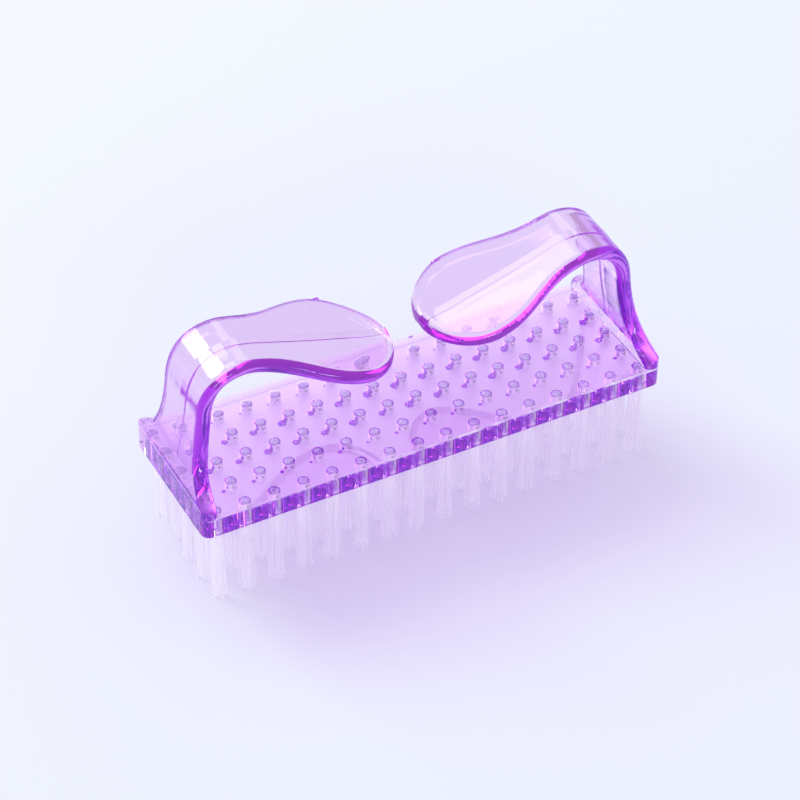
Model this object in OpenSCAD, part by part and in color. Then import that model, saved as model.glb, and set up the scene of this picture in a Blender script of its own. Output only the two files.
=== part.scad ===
// Two-handled nail brush: one clear moulding with tufts of nylon bristle stapled into its plate.
// Length runs along X, width along Y, and the brush stands on its bristle tips at Z = 0.

/* [Plate] */
// Length of the plate, end face to end face
plate_len = 95.4; // [80:0.2:112]
// Width of the plate
plate_w = 29.8; // [27:0.1:36]
// Thickness of the plate
plate_t = 4.3; // [3.8:0.1:6]
// Radius of the plate's corners, seen from above
corner_r = 1.8; // [1:0.1:4]

/* [Claw handles] */
// Height of a handle's crown above the plate
claw_rise = 27; // [24:0.5:32]
// How far a handle's tip lies in from its end of the plate
claw_reach = 44.5; // [36:0.1:46]
// Thickness of a handle
claw_t = 3.2; // [2.5:0.1:4.5]
// Height of the upright foot of a handle above the plate
foot_rise = 1.7; // [0.6:0.1:2.5]
// Height above the plate at which the stem gives way to the bend
stem_rise = 16.8; // [14:0.1:19]
// How far the stem has leaned in at that height
stem_lean = 2.8; // [0:0.1:4]
// How far in from the end of the plate the crown lies
crown_in = 12.6; // [9:0.1:14]
// Width of the stem and the neck
neck_w = 15.2; // [11:0.1:19]
// How far in from the end of the plate the neck begins to widen
neck_in = 15.9; // [14.2:0.1:18]
// Width of the finger paddle
paddle_w = 24.7; // [20:0.1:28]
// How far in from the end of the plate the paddle is widest
paddle_in = 33.9; // [28:0.1:35]
// Height of the paddle above the plate, where it is widest
paddle_rise = 20.3; // [17:0.1:23]
// Height of the tip above the plate
tip_rise = 17.9; // [14:0.1:20]

/* [Tuft holes] */
// Columns of tufts along the plate
columns = 16; // [6:1:16]
// Rows of tufts across the plate
rows = 5; // [2:1:5]
// Distance from the end of the plate to the first column of holes
end_margin = 3.6; // [2.6:0.1:5]
// Distance from the side of the plate to the first row of holes
side_margin = 2.92; // [2.6:0.02:4]
// Diameter of a tuft hole
hole_d = 2.4; // [2:0.05:3]
// Plastic left above a blind hole
hole_skin = 0.9; // [0.6:0.05:1.5]

/* [Tufts] */
// Length of bristle that stands out of the plate
bristle_len = 17.5; // [12:0.5:22]
// Thickness of one modelled strand
strand_t = 0.5; // [0.35:0.05:0.6]
// Strands in a ring round the middle one of each tuft
ring_strands = 5; // [3:1:5]
// Radius of the ring of strands where it leaves the plate
root_ring_r = 0.75; // [0.7:0.05:0.8]
// Radius of the ring of strands at the tips
tip_ring_r = 1.7; // [1:0.1:2]
// Clearance of a tuft in its hole, all round
tuft_slack = 0.05; // [0.02:0.01:0.1]

/* [Anchors] */
// Thickness of the flat wire of an anchor
anchor_t = 0.45; // [0.3:0.05:0.6]
// Height of an anchor, along the hole
anchor_h = 1.5; // [1:0.1:1.8]
// Depth to which each end of an anchor bites into the wall of its hole
anchor_bite = 0.2; // [0.1:0.05:0.3]
// Fold of bristle between an anchor and the blind end of its hole
anchor_fold = 0.45; // [0.3:0.05:0.8]
// Clearance between an anchor and the tuft that is folded round it
anchor_slack = 0.04; // [0.02:0.01:0.08]

/* [Hidden] */
// Sides of the round holes and plugs
$fn = 48;
// Steps along each curved stretch of a handle
curve_steps = 10;
// Overrun of every cut
overrun = 1;
// Embedded length of a strand in the root of its tuft
strand_root = 0.6;

plate_bottom = bristle_len;
plate_top = plate_bottom + plate_t;
hole_top = plate_top - hole_skin;
hole_depth = hole_top - plate_bottom;
anchor_top = hole_top - anchor_fold;
anchor_len = hole_d + 2 * anchor_bite;
plug_d = hole_d - 2 * tuft_slack;
foot_root = plate_t / 2;

column_pitch = (plate_len - 2 * end_margin) / (columns - 1);
row_pitch = (plate_w - 2 * side_margin) / (rows - 1);

clear_purple = [0.66, 0.36, 0.88, 0.6];
clear_nylon = [0.93, 0.94, 0.98];
bare_steel = [0.76, 0.77, 0.79];

// A handle's curves are cubic Bezier stretches. Their control points are shares of the step
// from one named point of the handle to the next.
stem_shares = [[0, 0], [0.12, 0.38], [0.88, 0.6], [1, 1]];
bend_shares = [[0, 0], [0.04, 0.68], [0.42, 1], [1, 1]];
slope_shares = [[0, 0], [0.18, 0], [0.6, 0.66], [1, 1]];
dip_shares = [[0, 0], [0.3, 0.43], [0.6, 0.95], [1, 1]];
flare_shares = [[0, 0], [0.26, 0.2], [1, 0.11], [1, 1]];
shoulder_shares = [[0, 0], [0.44, 0], [0.61, 1], [1, 1]];
round_shares = [[0, 0], [0.48, 0], [1, 0.49], [1, 1]];

// Named points of a handle's outer line, as distance in from the plate's end and height above it
foot_point = [0, foot_rise];
stem_point = [stem_lean, stem_rise];
crown_point = [crown_in, claw_rise];
paddle_point = [paddle_in, paddle_rise];
tip_point = [claw_reach, tip_rise];

function two_digits(n) = str(n < 10 ? "0" : "", n);
function tuft_name(c) = str("tuft_column_", two_digits(c + 1));
function anchor_name(c) = str("anchor_column_", two_digits(c + 1));

function column_x(c) = (c - (columns - 1) / 2) * column_pitch;
function row_y(r) = (r - (rows - 1) / 2) * row_pitch;

// The four control points of a stretch from one point to another
function control(from, to, shares) = [
    for (s = shares) [from.x + (to.x - from.x) * s.x, from.y + (to.y - from.y) * s.y]
];

function bezier(p, t) =
    pow(1 - t, 3) * p[0] + 3 * pow(1 - t, 2) * t * p[1] + 3 * (1 - t) * t * t * p[2] + pow(t, 3) * p[3];

function bezier_way(p, t) =
    pow(1 - t, 2) * (p[1] - p[0]) + 2 * (1 - t) * t * (p[2] - p[1]) + t * t * (p[3] - p[2]);

// The point that lies a handle's thickness inside the outer line
function inside(p, t) =
    let (way = bezier_way(p, t), unit = way / norm(way))
    bezier(p, t) + claw_t * [unit.y, -unit.x];

function stretch(p) = [for (i = [1 : curve_steps]) bezier(p, i / curve_steps)];
function inner_stretch(p) = [for (i = [curve_steps : -1 : 1]) inside(p, i / curve_steps)];

stem_curve = control(foot_point, stem_point, stem_shares);
bend_curve = control(stem_point, crown_point, bend_shares);
slope_curve = control(crown_point, paddle_point, slope_shares);
dip_curve = control(paddle_point, tip_point, dip_shares);

// Side view of a handle, as distance in from the plate's end and height above the plate
module claw_side() {
    polygon(concat(
        [[0, -foot_root], foot_point],
        stretch(stem_curve),
        stretch(bend_curve),
        stretch(slope_curve),
        stretch(dip_curve),
        inner_stretch(dip_curve),
        inner_stretch(slope_curve),
        inner_stretch(bend_curve),
        inner_stretch(stem_curve),
        [[claw_t, -foot_root]]
    ));
}

// End view of half a stem: full width at the foot, flaring in to the neck
module stem_end_view() {
    flare = stretch(control([plate_w / 2, foot_rise], [neck_w / 2, stem_rise], flare_shares));
    polygon(concat(
        [[0, -foot_root - overrun], [plate_w / 2, -foot_root - overrun], [plate_w / 2, foot_rise]],
        flare,
        [[neck_w / 2, claw_rise + overrun], [0, claw_rise + overrun]]
    ));
}

// Plan of half a handle from the crown to the tip: the neck widens into the rounded paddle
module paddle_plan() {
    shoulder = stretch(control([neck_in, neck_w / 2], [paddle_in, paddle_w / 2], shoulder_shares));
    round_end = stretch(control([paddle_in, paddle_w / 2], [claw_reach, 0], round_shares));
    polygon(concat(
        [[crown_in, 0], [crown_in, neck_w / 2], [neck_in, neck_w / 2]],
        shoulder,
        round_end
    ));
}

// Room that a handle may fill beside the middle plane, on the +Y side
module claw_room() {
    rotate([90, 0, 90])
        linear_extrude(crown_in)
            stem_end_view();
    translate([0, 0, -foot_root])
        linear_extrude(foot_root + claw_rise + overrun)
            paddle_plan();
}

// One handle, with the plate's end face at X = 0 and the plate's top at Z = 0
module claw() {
    intersection() {
        rotate([90, 0, 0])
            linear_extrude(plate_w, center = true)
                claw_side();
        union() {
            claw_room();
            mirror([0, 1, 0])
                claw_room();
        }
    }
}

// The plate's outline, with its four rounded corners
module plate_outline() {
    square([plate_len, plate_w - 2 * corner_r], center = true);
    square([plate_len - 2 * corner_r, plate_w], center = true);
    for (sx = [-1, 1], sy = [-1, 1])
        translate([sx * (plate_len / 2 - corner_r), sy * (plate_w / 2 - corner_r)])
            circle(corner_r);
}

// Flat wire of one anchor, across its hole
module anchor_wire(slack) {
    translate([-anchor_t / 2 - slack, -anchor_len / 2, anchor_top - anchor_h - slack])
        cube([anchor_t + 2 * slack, anchor_len, anchor_h + 2 * slack]);
}

// Blind hole for one tuft, with the two bites of its anchor
module tuft_hole() {
    translate([0, 0, plate_bottom - overrun])
        cylinder(h = hole_depth + overrun, d = hole_d);
    anchor_wire(0);
}

module brush_body() {
    color(clear_purple)
        difference() {
            intersection() {
                linear_extrude(plate_top + claw_rise + overrun)
                    plate_outline();
                union() {
                    translate([-plate_len / 2, -plate_w / 2, plate_bottom])
                        cube([plate_len, plate_w, plate_t]);
                    translate([-plate_len / 2, 0, plate_top])
                        claw();
                    translate([plate_len / 2, 0, plate_top])
                        mirror([1, 0, 0])
                            claw();
                }
            }
            for (c = [0 : columns - 1], r = [0 : rows - 1])
                translate([column_x(c), row_y(r), 0])
                    tuft_hole();
        }
}

// Four corners of a square strand round a centre, at one height
function strand_ring(centre, z) = [
    for (a = [45 : 90 : 315])
        [centre.x + strand_t * cos(a) / sqrt(2), centre.y + strand_t * sin(a) / sqrt(2), z]
];

// One strand from the root of its tuft down to its flat tip
module strand(angle, root_r, tip_r) {
    way = [cos(angle), sin(angle)];
    polyhedron(
        points = concat(
            strand_ring(tip_r * way, 0),
            strand_ring(root_r * way, plate_bottom + strand_root)
        ),
        faces = [
            [0, 1, 2], [0, 2, 3], [4, 6, 5], [4, 7, 6],
            for (i = [0 : 3])
                each [[i, 4 + i, 4 + (i + 1) % 4], [i, 4 + (i + 1) % 4, (i + 1) % 4]]
        ]
    );
}

// One tuft: its folded root, which fills the hole round the anchor, and its splayed strands
module tuft() {
    difference() {
        translate([0, 0, plate_bottom])
            cylinder(h = hole_depth, d = plug_d);
        anchor_wire(anchor_slack);
    }
    strand(0, 0, 0);
    for (i = [0 : ring_strands - 1])
        strand(360 * i / ring_strands, root_ring_r, tip_ring_r);
}

module tuft_column(c) {
    color(clear_nylon)
        for (r = [0 : rows - 1])
            translate([column_x(c), row_y(r), 0])
                tuft();
}

module anchor_column(c) {
    color(bare_steel)
        for (r = [0 : rows - 1])
            translate([column_x(c), row_y(r), 0])
                anchor_wire(0);
}

brush_body();
for (c = [0 : columns - 1]) {
    tuft_column(c);
    anchor_column(c);
}
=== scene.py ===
"""Looks of the two-handled nail brush: one clear purple moulding with 80 tufts of clear nylon."""

import math
import random

import bmesh
import bpy
from mathutils import Matrix, Vector


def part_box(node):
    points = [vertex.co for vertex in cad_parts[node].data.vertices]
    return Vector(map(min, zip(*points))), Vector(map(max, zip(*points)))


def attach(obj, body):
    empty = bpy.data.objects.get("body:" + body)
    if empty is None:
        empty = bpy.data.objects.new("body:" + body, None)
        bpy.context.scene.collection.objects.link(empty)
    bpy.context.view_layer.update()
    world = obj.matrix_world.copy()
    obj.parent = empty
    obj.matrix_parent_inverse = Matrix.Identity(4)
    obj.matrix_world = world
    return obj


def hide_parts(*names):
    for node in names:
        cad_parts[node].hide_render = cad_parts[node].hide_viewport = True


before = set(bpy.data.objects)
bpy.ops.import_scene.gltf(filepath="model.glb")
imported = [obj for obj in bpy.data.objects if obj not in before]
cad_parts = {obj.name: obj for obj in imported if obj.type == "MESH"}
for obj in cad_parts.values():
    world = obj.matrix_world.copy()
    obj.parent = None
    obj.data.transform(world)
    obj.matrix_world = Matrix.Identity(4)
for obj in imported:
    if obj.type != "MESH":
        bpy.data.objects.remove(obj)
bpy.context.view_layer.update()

MM = 0.001

# The plate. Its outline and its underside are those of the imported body.
body_low, body_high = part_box("brush_body")
plate_half_len = body_high[0]
plate_half_w = body_high[1]
plate_bottom = body_low[2]
plate_t = 4.3 * MM
plate_top = plate_bottom + plate_t
plate_corner_r = 1.8 * MM
plate_edge_r = 0.5 * MM
plate_top_edge_r = 0.35 * MM
top_edge_in = 4.6 * MM
trim_past = 2 * MM
over_crown = 5 * MM

# The handles. Distances run in from the end of the plate, heights run up from its top.
claw_t = 3.15 * MM
claw_rim_r = 1.45 * MM
toe_in = -0.5 * MM
toe_rise = 0.6 * MM
toe_proud = 0.04 * MM
foot_swell = 0.6 * MM
foot_fade = 8 * MM
foot_line = 0.34 * MM
foot_line_in = 3.2 * MM
ear_half_w = 13.5 * MM
ear_rise = 3.04 * MM
stem_lean = 2.8 * MM
stem_rise = 16.8 * MM
ridge = 0.45 * MM
ridge_least_w = 1 * MM
mould_drop = 0.2 * MM
mould_drop_w = 3.0 * MM
mould_step = 0.09 * MM
mould_step_w = 0.3 * MM
crown_in = 12.6 * MM
crown_rise = body_high[2] - plate_top
neck_half_w = 7.6 * MM
neck_in = 15.9 * MM
paddle_half_w = 12.35 * MM
paddle_in = 33.9 * MM
paddle_rise = 20.3 * MM
tip_in = 44.5 * MM
tip_rise = 17.9 * MM

# Cuts across the blank of a handle, closer together round its bend, and along its mould line
bend_cut = 0.7 * MM
plain_cut = 1.4 * MM
before_bend = 4 * MM
after_bend = 3 * MM
MOULD_CUTS_MM = (0, -0.3, -0.9, -1.7, -2.7, -3.9, -5.3, -7.0)

# The tuft holes
COLUMNS = 16
ROWS = 5
end_margin = 3.6 * MM
side_margin = 2.92 * MM
hole_r = 1.2 * MM
hole_skin = 0.9 * MM
hole_top = plate_top - hole_skin
hole_end_r = 0.42 * MM
HOLE_TAPER = 0.97
pin_past = 1 * MM

# The burrs beside the holes. A share for each row says how large they are there.
BURR_SHARES = (0, 0.5, 1, 1, 0.25)
BURR_LUMPS = (0.8, 1.15)
BURR_SPREAD = (0.85, 1.15)
BURR_STRAY_MM = 0.1
BURR_SEED = 41
burr_size = (0.76 * MM, 0.76 * MM, 0.6 * MM)
burr_out = 1.7 * MM
burr_aside = 0.7 * MM
burr_rise = 0.3 * MM

# The stubs of the runners
left_stub_x = -12.6 * MM
right_stub_x = 12.9 * MM
stub_in = 1.0 * MM
stub_drop = 0.85 * MM
stub_size = (1.9 * MM, 0.6 * MM, 0.6 * MM)
stub_edge_r = 0.1 * MM
plate_stub_x = 9.7 * MM
plate_stub_drop = 0.5 * MM
plate_stub_size = (0.9 * MM, 0.5 * MM, 0.6 * MM)

# The filaments of a tuft, folded over its anchor, and how they differ from each other
FILAMENTS = 28
SHADING_FILAMENTS = 3
TUFT_SEED = 700
filament_r = 0.085 * MM
anchor_fold = 0.45 * MM
anchor_top = hole_top - anchor_fold
leg_end = anchor_top - 0.6 * MM
fold_r = 0.97 * MM
fold_rise = 0.34 * MM
fold_gap = 0.06 * MM
shoulder_drop = 0.08 * MM
tip_least = 0.05 * MM
SHOULDER_SHARE = 0.7
WALL_FILAMENTS = 1.3
AREA_RANGE = (0.03, 1)
PACKED_SHARE = 0.95
ASIDE_SHARE = 0.45
SPLAY_RANGE = (1.3, 1.75)
FOLD_RANGE_MM = (0.15, 0.36)
TIP_STRAY_MM = 0.12
TIP_UNEVEN_MM = 0.1
BOW_MM = 0.05

# Places nearer to each other than these count as one: for picking edges, cuts, merging, the mould line
NEAR = 0.01 * MM
CUT_NEAR = 0.002 * MM
MERGE_NEAR = 0.0005 * MM
MOULD_LINE_NEAR = 0.005 * MM
NO_LENGTH = 1e-9


def row_of_places(count, half, margin):
    """Even places along a side of the plate, from one margin to the other."""
    pitch = 2 * (half - margin) / (count - 1)
    return [(i - (count - 1) / 2) * pitch for i in range(count)]


column_xs = row_of_places(COLUMNS, plate_half_len, end_margin)
row_ys = row_of_places(ROWS, plate_half_w, side_margin)


# Curves of the handles. Each row holds the shares of one stretch, where its control points lie.

STEM_SHARES = ((0, 0), (0.39, 0.25), (0.79, 0.59), (1, 1))
BEND_SHARES = ((0, 0), (0.04, 0.68), (0.42, 1), (1, 1))
SLOPE_SHARES = ((0, 0), (0.18, 0), (0.6, 0.66), (1, 1))
DIP_SHARES = ((0, 0), (0.3, 0.43), (0.6, 0.95), (1, 1))
EAR_SHARES = ((0, 0), (0, 0.5), (0.07, 0.68), (1, 1))
FLARE_SHARES = ((0, 0), (0.61, 0.16), (1.01, 0.28), (1, 1))
SHOULDER_SHARES = ((0, 0), (0.44, 0), (0.61, 1), (1, 1))
ROUND_SHARES = ((0, 0), (0.48, 0), (1, 0.49), (1, 1))
LINE_STEPS = 60

# The two axes of a handle's side view
INWARD = 0
UPWARD = 1


def bezier(start, end, shares, steps):
    """Points of one cubic stretch, whose control points are shares of the step from start to end."""
    ctrl = [Vector((start[i] + (end[i] - start[i]) * share[i] for i in (0, 1))) for share in shares]
    points = []
    for step in range(steps + 1):
        t = step / steps
        parts = ((1 - t) ** 3, 3 * (1 - t) ** 2 * t, 3 * (1 - t) * t * t, t ** 3)
        points.append(sum((c * p for c, p in zip(ctrl, parts)), Vector((0, 0))))
    return points


def joined(*stretches):
    """One line of points out of stretches that each start where the last one ends."""
    points = list(stretches[0])
    for stretch in stretches[1:]:
        points += stretch[1:]
    return points


outer_line = joined(
    bezier((toe_in, toe_rise), (stem_lean, stem_rise), STEM_SHARES, LINE_STEPS),
    bezier((stem_lean, stem_rise), (crown_in, crown_rise), BEND_SHARES, LINE_STEPS),
    bezier((crown_in, crown_rise), (paddle_in, paddle_rise), SLOPE_SHARES, LINE_STEPS),
    bezier((paddle_in, paddle_rise), (tip_in, tip_rise), DIP_SHARES, LINE_STEPS),
)
line_lengths = [0.0]
for a, b in zip(outer_line, outer_line[1:]):
    line_lengths.append(line_lengths[-1] + (b - a).length)
line_ways = [(b - a).normalized() for a, b in zip(outer_line, outer_line[1:])]
line_ways.append(line_ways[-1])
stem_end = line_lengths[LINE_STEPS]
crown_end = line_lengths[2 * LINE_STEPS]


def along_where(value, axis):
    """Length along the outer line at which its distance in, or its height, first reaches a value."""
    for i in range(len(outer_line) - 1):
        a, b = outer_line[i][axis], outer_line[i + 1][axis]
        if a <= value <= b and b > a:
            share = (value - a) / (b - a)
            return line_lengths[i] + share * (line_lengths[i + 1] - line_lengths[i])
    return line_lengths[-1]


def on_line(length):
    """Point and direction of the outer line at a length; below the toe it runs straight on."""
    if length <= 0:
        return outer_line[0] + length * line_ways[0], line_ways[0]
    i = 0
    while i < len(line_lengths) - 2 and line_lengths[i + 1] < length:
        i += 1
    share = (length - line_lengths[i]) / (line_lengths[i + 1] - line_lengths[i])
    point = outer_line[i] + (outer_line[i + 1] - outer_line[i]) * share
    way = line_ways[i] + (line_ways[min(i + 1, len(line_ways) - 1)] - line_ways[i]) * share
    return point, way.normalized()


def rim_outline():
    """Half the outline of a handle's flat blank: length along it and half width, from root to tip."""
    root = -(plate_t * 0.5 + toe_rise)
    toe_half_w = plate_half_w + toe_proud
    ear = bezier((toe_half_w, toe_rise), (ear_half_w, ear_rise), EAR_SHARES, steps=6)
    flare = bezier((ear_half_w, ear_rise), (neck_half_w, stem_rise), FLARE_SHARES, steps=14)
    widening = bezier((neck_in, neck_half_w), (paddle_in, paddle_half_w), SHOULDER_SHARES, steps=12)
    tip = bezier((paddle_in, paddle_half_w), (tip_in, 0), ROUND_SHARES, steps=14)
    points = [(root, toe_half_w)]
    points += [(along_where(rise, UPWARD), half) for half, rise in joined(ear, flare)]
    points += [(along_where(distance, INWARD), half) for distance, half in joined(widening, tip)]
    return points


# Mesh helpers

def placed(name, data):
    """A named object in the scene."""
    made = bpy.data.objects.new(name, data)
    bpy.context.scene.collection.objects.link(made)
    return made


def piece_from(bm, name):
    """A named object made from a bmesh."""
    mesh = bpy.data.meshes.new(name)
    bm.to_mesh(mesh)
    bm.free()
    return placed(name, mesh)


def finished_mesh(piece):
    """A new mesh with a piece's modifiers or bevel applied."""
    graph = bpy.context.evaluated_depsgraph_get()
    return bpy.data.meshes.new_from_object(piece.evaluated_get(graph))


def cut(piece, tool, operation):
    """Joins a piece with a tool, cuts the tool out of it, or keeps what they share."""
    step = piece.modifiers.new(tool.name, "BOOLEAN")
    step.operation = operation
    step.solver = "EXACT"
    step.object = tool
    mesh = finished_mesh(piece)
    old = piece.data
    piece.modifiers.clear()
    piece.data = mesh
    mesh.name = piece.name
    bpy.data.meshes.remove(old)
    bpy.data.objects.remove(tool)


def rounded(bm, edges, radius, segments):
    """Rounds some edges."""
    bmesh.ops.bevel(
        bm, geom=edges, offset=radius, offset_type="OFFSET", segments=segments,
        profile=0.5, affect="EDGES", material=-1, clamp_overlap=False,
    )


def slice_at(bm, place, normal):
    """Adds edges where a plane crosses the mesh."""
    bmesh.ops.bisect_plane(
        bm, geom=bm.verts[:] + bm.edges[:] + bm.faces[:], dist=CUT_NEAR, plane_co=place, plane_no=normal,
    )


def scale_and_place(bm, verts, size, place):
    """Gives a new shape its size, and then its place."""
    bmesh.ops.scale(bm, vec=size, verts=verts)
    bmesh.ops.translate(bm, vec=place, verts=verts)


def shade_smooth(bm):
    """Smooth shading on every face."""
    for face in bm.faces:
        face.smooth = True


def height_of(edge):
    """How much higher one end of an edge is than the other."""
    return abs(edge.verts[0].co.z - edge.verts[1].co.z)


def clamped(share):
    """A share kept between 0 and 1."""
    return min(max(share, 0), 1)


# The body

def claw_blank(rim):
    """The flat blank of a handle, with a rounded rim and the cuts that let it bend."""
    bm = bmesh.new()
    side = [bm.verts.new((length, half, 0)) for length, half in rim]
    other = [bm.verts.new((length, -half, 0)) for length, half in reversed(rim[:-1])]
    top = bm.faces.new(side + other)
    bm.normal_update()
    grown = bmesh.ops.extrude_face_region(bm, geom=[top])
    lower = [part for part in grown["geom"] if isinstance(part, bmesh.types.BMVert)]
    bmesh.ops.translate(bm, vec=(0, 0, -claw_t), verts=lower)
    bmesh.ops.recalc_face_normals(bm, faces=bm.faces)
    root = rim[0][0]
    level = [e for e in bm.edges if height_of(e) < NEAR]
    rounded(bm, [e for e in level if max(v.co.x for v in e.verts) > root + NEAR], claw_rim_r, segments=7)
    stations = []
    length = root
    while length < rim[-1][0]:
        stations.append(length)
        near_bend = stem_end - before_bend < length < crown_end + after_bend
        length += bend_cut if near_bend else plain_cut
    for length in stations[1:]:
        slice_at(bm, (length, 0, 0), (1, 0, 0))
    for y in MOULD_CUTS_MM:
        slice_at(bm, (0, y * MM, 0), (0, 1, 0))
    return bm


def half_width_at(rim, length):
    """Half width of a handle's blank at a length along it."""
    for (a, half_a), (b, half_b) in zip(rim, rim[1:]):
        if a <= length <= b:
            return half_a + (half_b - half_a) * (length - a) / max(b - a, NO_LENGTH)
    return rim[-1][1]


def bend(bm, rim, hand):
    """Bends a flat blank to the handle's side view, at the end of the plate on the side of hand.

    The finger paddle has a low ridge along its middle. The two halves of the mould meet there, and
    the front half lies a little deeper. Towards the foot the handle grows thicker inside."""
    widest = along_where(paddle_in, INWARD)
    for v in bm.verts:
        point, way = on_line(v.co.x)
        inward = Vector((way.y, -way.x))
        share = -v.co.z / claw_t
        front = max(-v.co.y, 0)
        rise = clamped((point.y - toe_rise) / stem_rise)
        half = half_width_at(rim, v.co.x) if v.co.x > crown_end else neck_half_w
        lift = ridge * clamped((half - neck_half_w) / (paddle_half_w - neck_half_w))
        if v.co.x > widest:
            lift = ridge
        lift *= 1 - min(abs(v.co.y) / max(half, ridge_least_w), 1)
        swell = foot_swell * clamped(1 - (point.y - toe_rise) / foot_fade) ** 2
        outer = mould_drop * (1 - math.exp(-front / mould_drop_w)) * rise - lift
        inner = claw_t + swell - mould_step * min(front / mould_step_w, 1) * rise - lift
        place = point + inward * (outer + share * (inner - outer))
        v.co = (hand * (plate_half_len - place.x), v.co.y, plate_top + place.y)
    bmesh.ops.recalc_face_normals(bm, faces=bm.faces)


def box_blank(half_x, half_y, low, high):
    """A plain block to cut from, centred on the brush."""
    bm = bmesh.new()
    bmesh.ops.create_cube(bm, size=1)
    scale_and_place(bm, bm.verts, (2 * half_x, 2 * half_y, high - low), (0, 0, (low + high) / 2))
    return bm


def plate_column():
    """The plate's outline with its rounded corners and lower edge, drawn up past the handles."""
    bm = box_blank(plate_half_len, plate_half_w, plate_bottom, body_high[2] + over_crown)
    rounded(bm, [e for e in bm.edges if height_of(e) > plate_t], plate_corner_r, segments=10)
    under = [e for e in bm.edges if all(v.co.z < plate_bottom + NEAR for v in e.verts)]
    rounded(bm, under, plate_edge_r, segments=4)
    return piece_from(bm, "plate_column")


def tuft_pins():
    """The pins that leave the 80 blind holes, each with its rounded end, and the bars that leave the
    fine line where the inside of each handle meets the plate."""
    bm = bmesh.new()
    for hand in (-1, 1):
        bar = bmesh.ops.create_cube(bm, size=1)["verts"]
        bmesh.ops.scale(bm, vec=(foot_line, 2 * (plate_half_w - claw_rim_r), foot_line), verts=bar)
        bmesh.ops.rotate(bm, matrix=Matrix.Rotation(math.radians(45), 3, "Y"), verts=bar)
        bmesh.ops.translate(bm, vec=(hand * (plate_half_len - foot_line_in), 0, plate_top), verts=bar)
    low = plate_bottom - pin_past
    for x in column_xs:
        for y in row_ys:
            pin = bmesh.ops.create_cone(
                bm, cap_ends=True, segments=32, radius1=hole_r, radius2=hole_r * HOLE_TAPER,
                depth=hole_top - low,
            )["verts"]
            bmesh.ops.translate(bm, vec=(x, y, (hole_top + low) / 2), verts=pin)
    ends = [e for e in bm.edges if all(abs(v.co.z - hole_top) < NEAR for v in e.verts)]
    rounded(bm, ends, hole_end_r, segments=3)
    return piece_from(bm, "tuft_pins")


def round_long_edges(bm):
    """Rounds the two long top edges of the plate between the feet of the handles."""
    reach = plate_half_len - top_edge_in
    for x in (-reach, reach):
        slice_at(bm, (x, 0, 0), (1, 0, 0))

    def on_edge(v):
        at_top = abs(v.co.z - plate_top) < NEAR
        at_side = abs(abs(v.co.y) - plate_half_w) < NEAR
        return at_top and at_side and abs(v.co.x) < reach + NEAR

    rounded(bm, [e for e in bm.edges if all(on_edge(v) for v in e.verts)], plate_top_edge_r, segments=3)


def mark_creases(bm):
    """Smooth shading that stops at creases, the mould line and the rim of an end face."""
    crease, end_crease = math.radians(32), math.radians(4)
    shade_smooth(bm)
    for edge in bm.edges:
        on_mould_line = all(abs(v.co.y) < MOULD_LINE_NEAR and v.co.z > plate_top for v in edge.verts)
        on_end_face = any(abs(face.normal.x) > 0.99999 for face in edge.link_faces)
        limit = end_crease if on_end_face else crease
        is_rim = len(edge.link_faces) != 2
        edge.smooth = not on_mould_line and (is_rim or edge.calc_face_angle(0) < limit)


def make_body(material):
    """The moulding: a slab joined with both handles, trimmed to the plate's outline and drilled."""
    slab = box_blank(
        plate_half_len + trim_past, plate_half_w + trim_past, plate_bottom - trim_past, plate_top,
    )
    moulding = piece_from(slab, "nail_brush_body")
    rim = rim_outline()
    for hand in (-1, 1):
        blank = claw_blank(rim)
        bend(blank, rim, hand)
        cut(moulding, piece_from(blank, "claw"), "UNION")
    cut(moulding, plate_column(), "INTERSECT")
    cut(moulding, tuft_pins(), "DIFFERENCE")
    bm = bmesh.new()
    bm.from_mesh(moulding.data)
    bmesh.ops.remove_doubles(bm, verts=bm.verts, dist=MERGE_NEAR)
    round_long_edges(bm)
    mark_creases(bm)
    bm.to_mesh(moulding.data)
    bm.free()
    flat_flats = moulding.modifiers.new("flat_flats", "WEIGHTED_NORMAL")
    flat_flats.keep_sharp = True
    flat_flats.weight = 80
    moulding.data.materials.append(material)
    return moulding


# Burrs and stubs

def torn_piece(bm, name, material):
    """A smooth piece of torn plastic."""
    shade_smooth(bm)
    piece = piece_from(bm, name)
    piece.data.materials.append(material)
    return piece


def make_burrs(material):
    """Lumps of plastic that the drill tore up beside the holes, mostly in two rows."""
    chance = random.Random(BURR_SEED)
    bm = bmesh.new()
    for x in column_xs:
        for y, share in zip(row_ys, BURR_SHARES):
            if not share:
                continue
            lump = bmesh.ops.create_icosphere(bm, subdivisions=2, radius=1)["verts"]
            for v in lump:
                v.co *= chance.uniform(*BURR_LUMPS)
            grown = share * chance.uniform(*BURR_SPREAD)
            stray = chance.uniform(-BURR_STRAY_MM, BURR_STRAY_MM) * MM
            place = (x - burr_out + stray, y - burr_aside, plate_bottom + burr_rise * share)
            scale_and_place(bm, lump, [r * grown for r in burr_size], place)
    return torn_piece(bm, "drill_burrs", material)


def make_stubs(material):
    """The stubs left on the back rims of the paddles and the plate, where the runners were cut off."""
    bm = bmesh.new()
    paddle_y = paddle_half_w - stub_in
    paddle_z = plate_top + paddle_rise - stub_drop
    for place, size in (
        ((left_stub_x, paddle_y, paddle_z), stub_size),
        ((right_stub_x, paddle_y, paddle_z), stub_size),
        ((plate_stub_x, plate_half_w, plate_top - plate_stub_drop), plate_stub_size),
    ):
        scale_and_place(bm, bmesh.ops.create_cube(bm, size=1)["verts"], size, place)
    rounded(bm, bm.edges[:], stub_edge_r, segments=2)
    return torn_piece(bm, "runner_stubs", material)


# Material helpers

def new_material(name):
    """A material with its nodes, its links and its main shader."""
    material = bpy.data.materials.new(name)
    material.use_nodes = True
    tree = material.node_tree
    return material, tree.nodes, tree.links, tree.nodes["Principled BSDF"]


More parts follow.
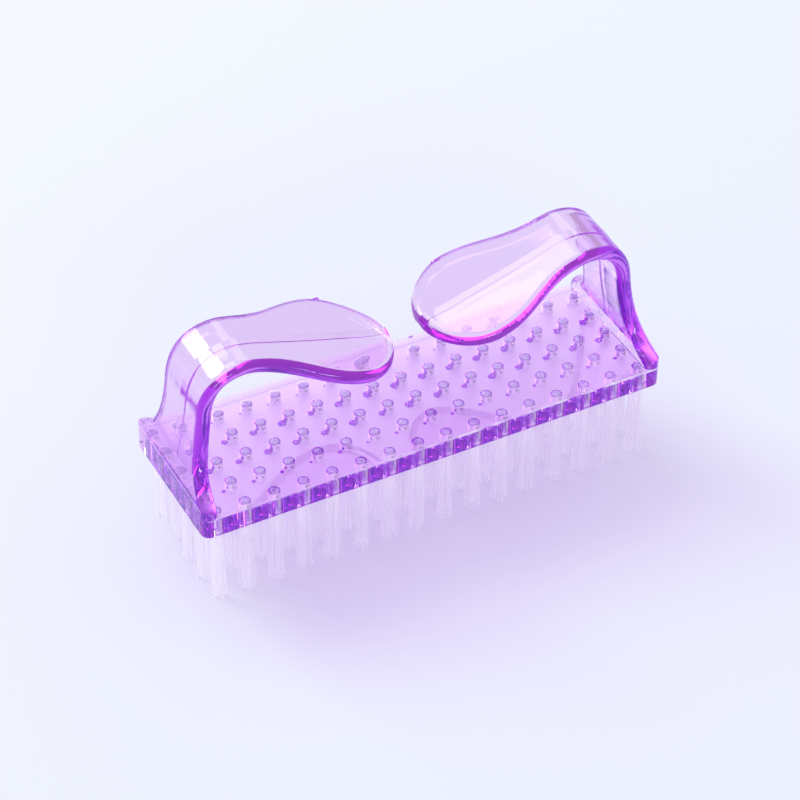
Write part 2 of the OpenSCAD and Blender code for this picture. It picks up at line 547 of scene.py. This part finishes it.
def combined(nodes, links, operation, values):
    """One number out of several, taken two at a time."""
    result = values[0]
    for value in values[1:]:
        step = nodes.new("ShaderNodeMath")
        step.operation = operation
        links.new(result, step.inputs[0])
        links.new(value, step.inputs[1])
        result = step.outputs[0]
    return result


def highest(nodes, links, *values):
    """The highest of several numbers."""
    return combined(nodes, links, "MAXIMUM", values)


def product(nodes, links, *values):
    """Several numbers multiplied, so that masks keep only what they share."""
    return combined(nodes, links, "MULTIPLY", values)


def ranged(nodes, links, value, low, high):
    """A value from 0 to 1, spread over a range."""
    spread = nodes.new("ShaderNodeMapRange")
    spread.inputs["To Min"].default_value = low
    spread.inputs["To Max"].default_value = high
    links.new(value, spread.inputs["Value"])
    return spread.outputs["Result"]


def above(nodes, links, value, edge, soft):
    """0 below an edge and 1 above it, over a soft step."""
    step = nodes.new("ShaderNodeMapRange")
    step.inputs["From Min"].default_value = edge - soft / 2
    step.inputs["From Max"].default_value = edge + soft / 2
    links.new(value, step.inputs["Value"])
    return step.outputs["Result"]


def below(nodes, links, value, edge, soft):
    """1 below an edge and 0 above it, over a soft step."""
    return ranged(nodes, links, above(nodes, links, value, edge, soft), 1, 0)


def more_than(nodes, links, path, kind, depth):
    """1 for light that has already met more than depth surfaces of a kind."""
    test = nodes.new("ShaderNodeMath")
    test.operation = "GREATER_THAN"
    links.new(path.outputs[kind], test.inputs[0])
    test.inputs[1].default_value = depth
    return test.outputs[0]


def place_on_piece(nodes, links):
    """Where on the piece a point lies, as X, Y and Z."""
    place = nodes.new("ShaderNodeTexCoord")
    axes = nodes.new("ShaderNodeSeparateXYZ")
    links.new(place.outputs["Object"], axes.inputs[0])
    return axes.outputs


def facing(nodes):
    """0 where a surface is seen square on, rising to 1 at its edges."""
    weight = nodes.new("ShaderNodeLayerWeight")
    weight.inputs["Blend"].default_value = 0.5
    return weight.outputs["Facing"]


def plain_shader(nodes, kind, colour):
    """A shader of one colour."""
    shader = nodes.new(kind)
    shader.inputs["Color"].default_value = (*colour, 1)
    return shader


def blend_shaders(nodes, links, mask, shader, other):
    """One shader where a mask is 0 and another where it is 1."""
    mix = nodes.new("ShaderNodeMixShader")
    links.new(mask, mix.inputs["Fac"])
    links.new(shader.outputs[0], mix.inputs[1])
    links.new(other.outputs[0], mix.inputs[2])
    return mix


def blend_colours(nodes, links, mask, plain, other):
    """One colour where a mask is 0 and another where it is 1. The first may come from another node."""
    mix = nodes.new("ShaderNodeMix")
    mix.data_type = "RGBA"
    links.new(mask, mix.inputs["Factor"])
    if isinstance(plain, tuple):
        mix.inputs[6].default_value = (*plain, 1)
    else:
        links.new(plain, mix.inputs[6])
    mix.inputs[7].default_value = (*other, 1)
    return mix.outputs[2]


def show(nodes, links, shader, socket="Surface"):
    """Gives a shader to the surface, or to the volume inside it."""
    links.new(shader.outputs[0], nodes["Material Output"].inputs[socket])


def grain_group():
    """Fine uneven skin from stretched noise: a value, and a normal that it tilts."""
    group = bpy.data.node_groups.new("uneven_skin", "ShaderNodeTree")
    for name, way, kind in (
        ("Stretch", "INPUT", "NodeSocketVector"),
        ("Depth", "INPUT", "NodeSocketFloat"),
        ("Normal", "INPUT", "NodeSocketVector"),
        ("Value", "OUTPUT", "NodeSocketFloat"),
        ("Normal", "OUTPUT", "NodeSocketVector"),
    ):
        group.interface.new_socket(name=name, in_out=way, socket_type=kind)
    nodes, links = group.nodes, group.links
    entry = nodes.new("NodeGroupInput")
    leave = nodes.new("NodeGroupOutput")
    place = nodes.new("ShaderNodeTexCoord")
    stretched = nodes.new("ShaderNodeVectorMath")
    stretched.operation = "MULTIPLY"
    links.new(place.outputs["Object"], stretched.inputs[0])
    links.new(entry.outputs["Stretch"], stretched.inputs[1])
    noise = nodes.new("ShaderNodeTexNoise")
    noise.inputs["Scale"].default_value = 1
    noise.inputs["Detail"].default_value = 3
    noise.inputs["Roughness"].default_value = 0.45
    links.new(stretched.outputs[0], noise.inputs["Vector"])
    bump = nodes.new("ShaderNodeBump")
    links.new(noise.outputs["Fac"], bump.inputs["Height"])
    links.new(entry.outputs["Depth"], bump.inputs["Distance"])
    links.new(entry.outputs["Normal"], bump.inputs["Normal"])
    links.new(noise.outputs["Fac"], leave.inputs["Value"])
    links.new(bump.outputs["Normal"], leave.inputs["Normal"])
    return group


uneven_skin = grain_group()


def add_grain(nodes, links, stretch, depth, under=None):
    """Uneven skin with features 1 / stretch long, laid over another skin if one is given."""
    grain = nodes.new("ShaderNodeGroup")
    grain.node_tree = uneven_skin
    grain.inputs["Stretch"].default_value = stretch
    grain.inputs["Depth"].default_value = depth
    base = under or nodes.new("ShaderNodeNewGeometry")
    links.new(base.outputs["Normal"], grain.inputs["Normal"])
    return grain


# Clear purple plastic: what light takes on inside it, on short and on long ways, and its worn places,
# with a painted highlight along the scuffed front edge

DEPTH_COLOUR = (0.745, 0.02, 0.967)
DEPTH_DENSITY = 99
STRAIGHT_COLOUR = (0.95, 0.89, 0.99)
GUIDED_COLOUR = (0.7, 0.12, 0.82)
LONG_WAY_WALLS = 7
LONG_WAY_MIRRORS = 2
# Pale colour of the scuffed front edge, which also serves as a painted highlight.
SCUFF_HIGHLIGHT_COLOUR = (0.96, 0.92, 1)
FROST_COLOUR = (0.98, 0.93, 1)
FROST_SHARE = 0.6
peel_depth = 0.003 * MM
ripple_depth = 0.035 * MM
scuff_highlight_w = 0.28 * MM
scuff_highlight_soft = 0.08 * MM
wall_near = 0.06 * MM
bottom_near = 0.05 * MM
wall_soft = 0.02 * MM


def rippled_skin(nodes, links, axes):
    """Faint unevenness from the mould, with ripples across the front half of the right paddle."""
    orange_peel = add_grain(nodes, links, (420, 420, 420), peel_depth)
    flow_lines = add_grain(nodes, links, (90, 1100, 90), peel_depth, orange_peel)
    ripples = add_grain(nodes, links, (1300, 110, 300), 0, flow_lines)
    right_paddle = product(
        nodes, links,
        above(nodes, links, axes["X"], edge=2 * MM, soft=2 * MM),
        below(nodes, links, axes["Y"], edge=-2 * MM, soft=3 * MM),
        above(nodes, links, axes["Z"], edge=plate_top + stem_rise, soft=2 * MM),
    )
    links.new(ranged(nodes, links, right_paddle, 0, ripple_depth), ripples.inputs["Depth"])
    return orange_peel, ripples


def scuff_and_painted_highlight(nodes, links, axes):
    """1 along the front top edge of the plate, scuffed by handling and lit by a painted highlight, most
    towards the right.
    """
    near_side = below(nodes, links, axes["Y"], edge=scuff_highlight_w - plate_half_w, soft=scuff_highlight_soft)
    near_top = above(nodes, links, axes["Z"], edge=plate_top - scuff_highlight_w, soft=scuff_highlight_soft)
    under_stems = below(nodes, links, axes["Z"], edge=plate_top + scuff_highlight_soft, soft=scuff_highlight_soft)
    patchy = add_grain(nodes, links, (350, 350, 350), 0)
    worn_and_highlit = above(nodes, links, patchy.outputs["Value"], edge=0.45, soft=0.3)
    to_right = above(nodes, links, axes["X"], edge=-8 * MM, soft=24 * MM)
    most = ranged(nodes, links, to_right, 0.3, 1)
    return product(nodes, links, near_side, near_top, under_stems, worn_and_highlit, most)


def frosted_back(nodes, links, axes):
    """1 on the back wall of the plate."""
    at_back = above(nodes, links, axes["Y"], edge=plate_half_w - wall_near, soft=wall_soft)
    under_stems = below(nodes, links, axes["Z"], edge=plate_top, soft=0.1 * MM)
    return product(nodes, links, at_back, under_stems)


def matt_underside(nodes, links, axes):
    """Roughness of the underside of the plate, which is matt unless it is seen at a flat angle."""
    at_flat_angle = above(nodes, links, facing(nodes), edge=0.35, soft=0.2)
    at_bottom = below(nodes, links, axes["Z"], edge=plate_bottom + bottom_near, soft=wall_soft)
    return product(nodes, links, ranged(nodes, links, at_flat_angle, 0.5, 0), at_bottom)


def clear_purple():
    """Clear plastic that gets its purple from the depth of it that light goes through."""
    material, nodes, links, shader = new_material("clear_purple_plastic")
    shader.inputs["Base Color"].default_value = (1, 1, 1, 1)
    shader.inputs["Transmission Weight"].default_value = 1
    shader.inputs["IOR"].default_value = 1.57
    axes = place_on_piece(nodes, links)
    orange_peel, ripples = rippled_skin(nodes, links, axes)
    links.new(ripples.outputs["Normal"], shader.inputs["Normal"])
    scuff_highlight_mask = scuff_and_painted_highlight(nodes, links, axes)
    back_wall = frosted_back(nodes, links, axes)
    roughness = highest(
        nodes, links,
        ranged(nodes, links, orange_peel.outputs["Value"], 0.01, 0.05),
        matt_underside(nodes, links, axes),
        ranged(nodes, links, scuff_highlight_mask, 0, 0.45),
        ranged(nodes, links, back_wall, 0, 0.5),
    )
    links.new(roughness, shader.inputs["Roughness"])
    # Painted highlight: the scuffed front edge is a pale matt strip that shows as a bright line.
    scuffed_highlit = plain_shader(nodes, "ShaderNodeBsdfDiffuse", SCUFF_HIGHLIGHT_COLOUR)
    frosted = plain_shader(nodes, "ShaderNodeBsdfTranslucent", FROST_COLOUR)
    worn_and_highlit = blend_shaders(nodes, links, ranged(nodes, links, scuff_highlight_mask, 0, 0.75), shader, scuffed_highlit)
    walls = blend_shaders(nodes, links, ranged(nodes, links, back_wall, 0, FROST_SHARE), worn_and_highlit, frosted)

    # A ray that has met many walls leaves with the colour of a long way through the plastic. Shadows
    # and scattered light go straight through, a little tinted.
    path = nodes.new("ShaderNodeLightPath")
    long_way = highest(
        nodes, links,
        more_than(nodes, links, path, "Ray Depth", LONG_WAY_WALLS),
        more_than(nodes, links, path, "Glossy Depth", LONG_WAY_MIRRORS),
    )
    guided = plain_shader(nodes, "ShaderNodeBsdfTransparent", GUIDED_COLOUR)
    ways = blend_shaders(nodes, links, long_way, walls, guided)
    lamp_light = highest(nodes, links, path.outputs["Is Shadow Ray"], path.outputs["Is Diffuse Ray"])
    straight = plain_shader(nodes, "ShaderNodeBsdfTransparent", STRAIGHT_COLOUR)
    show(nodes, links, blend_shaders(nodes, links, lamp_light, ways, straight))
    depth = plain_shader(nodes, "ShaderNodeVolumeAbsorption", DEPTH_COLOUR)
    depth.inputs["Density"].default_value = DEPTH_DENSITY
    show(nodes, links, depth, "Volume")
    return material


# Clear nylon: painted greyish purple shade, mottled, in the holes, and a faint painted shade towards the
# tips

# Painted shade: greyish purple in the holes, where the light is dim and tinted by the plate.
HOLE_SHADE_COLOUR = (0.56, 0.34, 0.84)
# Painted shade: a faint grey lavender towards the tips.
TIP_SHADE_COLOUR = (0.97, 0.95, 1)
SEE_THROUGH_COLOUR = (0.985, 0.98, 1)
CLEAR_LAYERS = 5
MILKY_SHARE = 0.6
tip_shade_fade = 6 * MM
loose_soft = 1 * MM


def clear_nylon():
    """Drawn filaments that scatter much of the light and let the rest by."""
    material, nodes, links, shader = new_material("clear_nylon")
    shader.inputs["IOR"].default_value = 1.53
    axes = place_on_piece(nodes, links)
    drawn = add_grain(nodes, links, (900, 900, 60), 0.004 * MM)
    links.new(drawn.outputs["Normal"], shader.inputs["Normal"])
    links.new(ranged(nodes, links, drawn.outputs["Value"], 0.25, 0.45), shader.inputs["Roughness"])
    # Painted shade, mottled, over the nylon in the holes.
    hole_shade_mottle = add_grain(nodes, links, (2600, 2600, 2600), 0)
    painted_hole_shade = product(
        nodes, links,
        above(nodes, links, axes["Z"], edge=plate_bottom, soft=loose_soft),
        above(nodes, links, hole_shade_mottle.outputs["Value"], edge=0.42, soft=0.4),
    )
    # Painted shade towards the tips, fading out towards the plate.
    painted_tip_shade = below(nodes, links, axes["Z"], edge=plate_bottom - tip_shade_fade, soft=tip_shade_fade)
    roots_with_hole_shade = blend_colours(nodes, links, painted_hole_shade, (1, 1, 1), HOLE_SHADE_COLOUR)
    colour = blend_colours(nodes, links, painted_tip_shade, roots_with_hole_shade, TIP_SHADE_COLOUR)
    links.new(colour, shader.inputs["Base Color"])
    milky = nodes.new("ShaderNodeBsdfTranslucent")
    links.new(colour, milky.inputs["Color"])
    glow = nodes.new("ShaderNodeMixShader")
    glow.inputs["Fac"].default_value = MILKY_SHARE
    links.new(shader.outputs[0], glow.inputs[1])
    links.new(milky.outputs[0], glow.inputs[2])

    # Only the first few loose filaments in a line of sight are see-through, most where seen square on.
    path = nodes.new("ShaderNodeLightPath")
    many_layers = more_than(nodes, links, path, "Transparent Depth", CLEAR_LAYERS)
    clearness = product(
        nodes, links,
        ranged(nodes, links, facing(nodes), 0.6, 0.4),
        ranged(nodes, links, many_layers, 1, 0),
        below(nodes, links, axes["Z"], edge=plate_bottom, soft=loose_soft),
    )
    see_through = plain_shader(nodes, "ShaderNodeBsdfTransparent", SEE_THROUGH_COLOUR)
    show(nodes, links, blend_shaders(nodes, links, clearness, glow, see_through))
    return material


# Torn plastic painted with deep purple shade and pale glints, and the wire of the anchors

# Painted shade and painted glints: the burrs and stubs are opaque deep purple with pale specks.
TORN_SHADE_COLOUR = (0.5, 0.01, 0.85)
PAINTED_GLINT_COLOUR = (1, 0.95, 1)
STEEL_COLOUR = (0.74, 0.75, 0.78)


def torn_purple_painted():
    """Jagged, glossy plastic painted deep purple as shade of light trapped inside it, with a few painted
    pale glints.
    """
    material, nodes, links, shader = new_material("torn_plastic_painted_shade_and_glints")
    shader.inputs["IOR"].default_value = 1.5
    torn_with_painted_light = add_grain(nodes, links, (2500, 2500, 2500), 0.05 * MM)
    links.new(torn_with_painted_light.outputs["Normal"], shader.inputs["Normal"])
    # Painted glints: pale specks in the base colour.
    painted_glints = above(nodes, links, torn_with_painted_light.outputs["Value"], edge=0.6, soft=0.06)
    colour = blend_colours(nodes, links, painted_glints, TORN_SHADE_COLOUR, PAINTED_GLINT_COLOUR)
    links.new(colour, shader.inputs["Base Color"])
    links.new(ranged(nodes, links, torn_with_painted_light.outputs["Value"], 0.03, 0.2), shader.inputs["Roughness"])
    return material


def drawn_steel():
    """Bright flat wire with fine lines along it."""
    material, nodes, links, shader = new_material("drawn_steel_wire")
    shader.inputs["Base Color"].default_value = (*STEEL_COLOUR, 1)
    shader.inputs["Metallic"].default_value = 1
    lines = add_grain(nodes, links, (9000, 300, 9000), 0.004 * MM)
    links.new(lines.outputs["Normal"], shader.inputs["Normal"])
    links.new(ranged(nodes, links, lines.outputs["Value"], 0.25, 0.5), shader.inputs["Roughness"])
    return material


# The tufts

def stray(chance, spread_mm):
    """A small random step across the brush."""
    return Vector((chance.gauss(0, spread_mm), chance.gauss(0, spread_mm))) * MM


def filament_path(centre, chance):
    """One filament, folded in half over its anchor, from tip to tip."""
    angle = chance.uniform(0, math.pi)
    out = Vector((math.cos(angle), math.sin(angle)))
    across = Vector((-out.y, out.x))
    reach = (hole_r - WALL_FILAMENTS * filament_r) * math.sqrt(chance.uniform(*AREA_RANGE))
    room = math.sqrt(max((hole_r * PACKED_SHARE) ** 2 - reach ** 2, 0))
    off = chance.uniform(-ASIDE_SHARE, ASIDE_SHARE) * room
    splay = chance.uniform(*SPLAY_RANGE)
    legs = []
    for side in (1, -1):
        base = out * side * reach + across * off
        tip = base * splay + stray(chance, TIP_STRAY_MM)
        low = abs(chance.gauss(0, TIP_UNEVEN_MM)) * MM + tip_least
        bow = stray(chance, BOW_MM)
        leg = []
        for share in (0, 0.5, 1):
            flat = tip + (base - tip) * share + bow * math.sin(math.pi * share)
            leg.append(Vector((flat.x, flat.y, low + share * (plate_bottom - low))))
        leg.append(Vector((base.x, base.y, leg_end)))
        legs.append(leg)
    fold = anchor_top + chance.uniform(*FOLD_RANGE_MM) * MM
    shoulders = [
        Vector((
            out.x * side * reach * SHOULDER_SHARE + across.x * off,
            out.y * side * reach * SHOULDER_SHARE + across.y * off,
            fold - shoulder_drop,
        ))
        for side in (1, -1)
    ]
    top = Vector((across.x * off, across.y * off, fold))
    path = legs[0] + [shoulders[0], top, shoulders[1]] + list(reversed(legs[1]))
    return [Vector((p.x + centre[0], p.y + centre[1], p.z)) for p in path]


def filament_curve(name, column, filaments, chance):
    """Some filaments of the five tufts of one column, as thin rods along their paths."""
    curve = bpy.data.curves.new(name, "CURVE")
    curve.dimensions = "3D"
    curve.bevel_depth = filament_r
    curve.bevel_resolution = 0
    curve.use_fill_caps = True
    for y in row_ys:
        for _ in range(filaments):
            path = filament_path((column_xs[column], y), chance)
            spline = curve.splines.new("POLY")
            spline.points.add(len(path) - 1)
            for point, place in zip(spline.points, path):
                point.co = (*place, 1)
    return curve


def add_packed_folds(mesh, column):
    """The rounded mass of bent filaments at the blind end of each hole of a column."""
    bm = bmesh.new()
    bm.from_mesh(mesh)
    for y in row_ys:
        mass = bmesh.ops.create_uvsphere(bm, u_segments=16, v_segments=8, radius=1)["verts"]
        place = (column_xs[column], y, hole_top - fold_rise - fold_gap)
        scale_and_place(bm, mass, (fold_r, fold_r, fold_rise), place)
    bm.to_mesh(mesh)
    bm.free()


def make_bundle(name, column, filaments, chance, material, with_folds):
    """Some filaments of the five tufts of one column, as one piece."""
    curve = filament_curve(name, column, filaments, chance)
    drawn = placed(name, curve)
    mesh = finished_mesh(drawn)
    mesh.name = name
    bpy.data.objects.remove(drawn)
    bpy.data.curves.remove(curve)
    if with_folds:
        add_packed_folds(mesh, column)
    for face in mesh.polygons:
        face.use_smooth = True
    mesh.materials.append(material)
    bundle = placed(name, mesh)
    bundle.visible_diffuse = False
    return bundle


def make_tufts(column, material):
    """The tufts of one column: most filaments let the lamps' light by, and a few hold it back."""
    chance = random.Random(TUFT_SEED + column)
    most, few = FILAMENTS - SHADING_FILAMENTS, SHADING_FILAMENTS
    number = column + 1
    outer = make_bundle("tufts_%02d" % number, column, most, chance, material, with_folds=True)
    outer.visible_shadow = False
    inner = make_bundle("tuft_cores_%02d" % number, column, few, chance, material, with_folds=False)
    return outer, inner


# Stage, lamps and camera

FLOOR_COLOUR = (0.85, 0.88, 0.97)
STUDIO_COLOUR = (0.96, 0.97, 1.0)
STUDIO_STRENGTH = 0.69


def make_floor():
    """A wide sheet of pale paper with a faint fibre."""
    bm = bmesh.new()
    bmesh.ops.create_grid(bm, x_segments=1, y_segments=1, size=3)
    floor = piece_from(bm, "studio_floor")
    material, nodes, links, shader = new_material("studio_floor_paper")
    shader.inputs["Base Color"].default_value = (*FLOOR_COLOUR, 1)
    shader.inputs["Specular IOR Level"].default_value = 0.1
    fibre = add_grain(nodes, links, (1800, 1800, 1800), 0.008 * MM)
    links.new(fibre.outputs["Normal"], shader.inputs["Normal"])
    links.new(ranged(nodes, links, fibre.outputs["Value"], 0.8, 1), shader.inputs["Roughness"])
    floor.data.materials.append(material)


def make_lamp(name, azimuth, elevation, distance, size, power):
    """A soft lamp aimed at the brush; azimuth runs from the back of the brush towards its right."""
    around, rise = math.radians(azimuth), math.radians(elevation)
    way = Vector((math.sin(around) * math.cos(rise), math.cos(around) * math.cos(rise), math.sin(rise)))
    data = bpy.data.lights.new(name, "AREA")
    data.shape = "RECTANGLE"
    data.size, data.size_y = size
    data.energy = power
    lamp = placed(name, data)
    lamp.location = Vector((0, 0, 25 * MM)) + way * distance
    lamp.rotation_euler = way.to_track_quat("Z", "Y").to_euler()


def make_light():
    """Four soft lamps in a pale room. The sheen panel stands where the plate's top mirrors it."""
    make_lamp("key_softbox", azimuth=-29, elevation=36, distance=1.8, size=(0.84, 0.84), power=13.8)
    make_lamp("top_softbox", azimuth=-2, elevation=57, distance=1.2, size=(0.34, 0.36), power=1.15)
    make_lamp("sheen_panel", azimuth=28.3, elevation=40.8, distance=1.5, size=(0.42, 0.24), power=0.5)
    make_lamp("front_fill", azimuth=-168, elevation=12, distance=1.6, size=(1.0, 0.2), power=5.5)
    world = bpy.data.worlds.new("studio")
    world.use_nodes = True
    background = world.node_tree.nodes["Background"]
    background.inputs["Color"].default_value = (*STUDIO_COLOUR, 1)
    background.inputs["Strength"].default_value = STUDIO_STRENGTH
    bpy.context.scene.world = world


def make_camera():
    """The photo's view, as fitted to the grid of hole tops. Azimuth runs from the front to the right."""
    azimuth, elevation, roll = math.radians(-28.27), math.radians(40.83), math.radians(0.793)
    aim = Vector((-0.42, -0.11, 21.11)) * MM
    distance_mm = 583.8
    back = Vector((
        math.sin(azimuth) * math.cos(elevation),
        -math.cos(azimuth) * math.cos(elevation),
        math.sin(elevation),
    ))
    right = Vector((0, 0, 1)).cross(back).normalized()
    up = back.cross(right)
    turned_right = math.cos(roll) * right + math.sin(roll) * up
    turned_up = -math.sin(roll) * right + math.cos(roll) * up
    turned = Matrix((turned_right, turned_up, back)).transposed().to_4x4()
    data = bpy.data.cameras.new("camera")
    data.lens = 140.62
    data.sensor_width = 36
    data.clip_start = 0.02
    camera = placed("camera", data)
    camera.matrix_world = Matrix.Translation(aim + back * distance_mm * MM) @ turned
    bpy.context.scene.camera = camera


# The brush and its studio

make_camera()
make_light()
make_floor()
bpy.context.scene.view_settings.view_transform = "Standard"

body = make_body(clear_purple())
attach(body, "root")
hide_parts("brush_body")

torn_with_painted_light = torn_purple_painted()
for piece in (make_burrs(torn_with_painted_light), make_stubs(torn_with_painted_light)):
    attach(piece, "root")

nylon = clear_nylon()
steel = drawn_steel()
for column in range(COLUMNS):
    for bundle in make_tufts(column, nylon):
        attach(bundle, "root")
        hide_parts("tuft_column_%02d" % (column + 1))
    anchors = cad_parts["anchor_column_%02d" % (column + 1)]
    for slot in anchors.material_slots:
        slot.material = steel
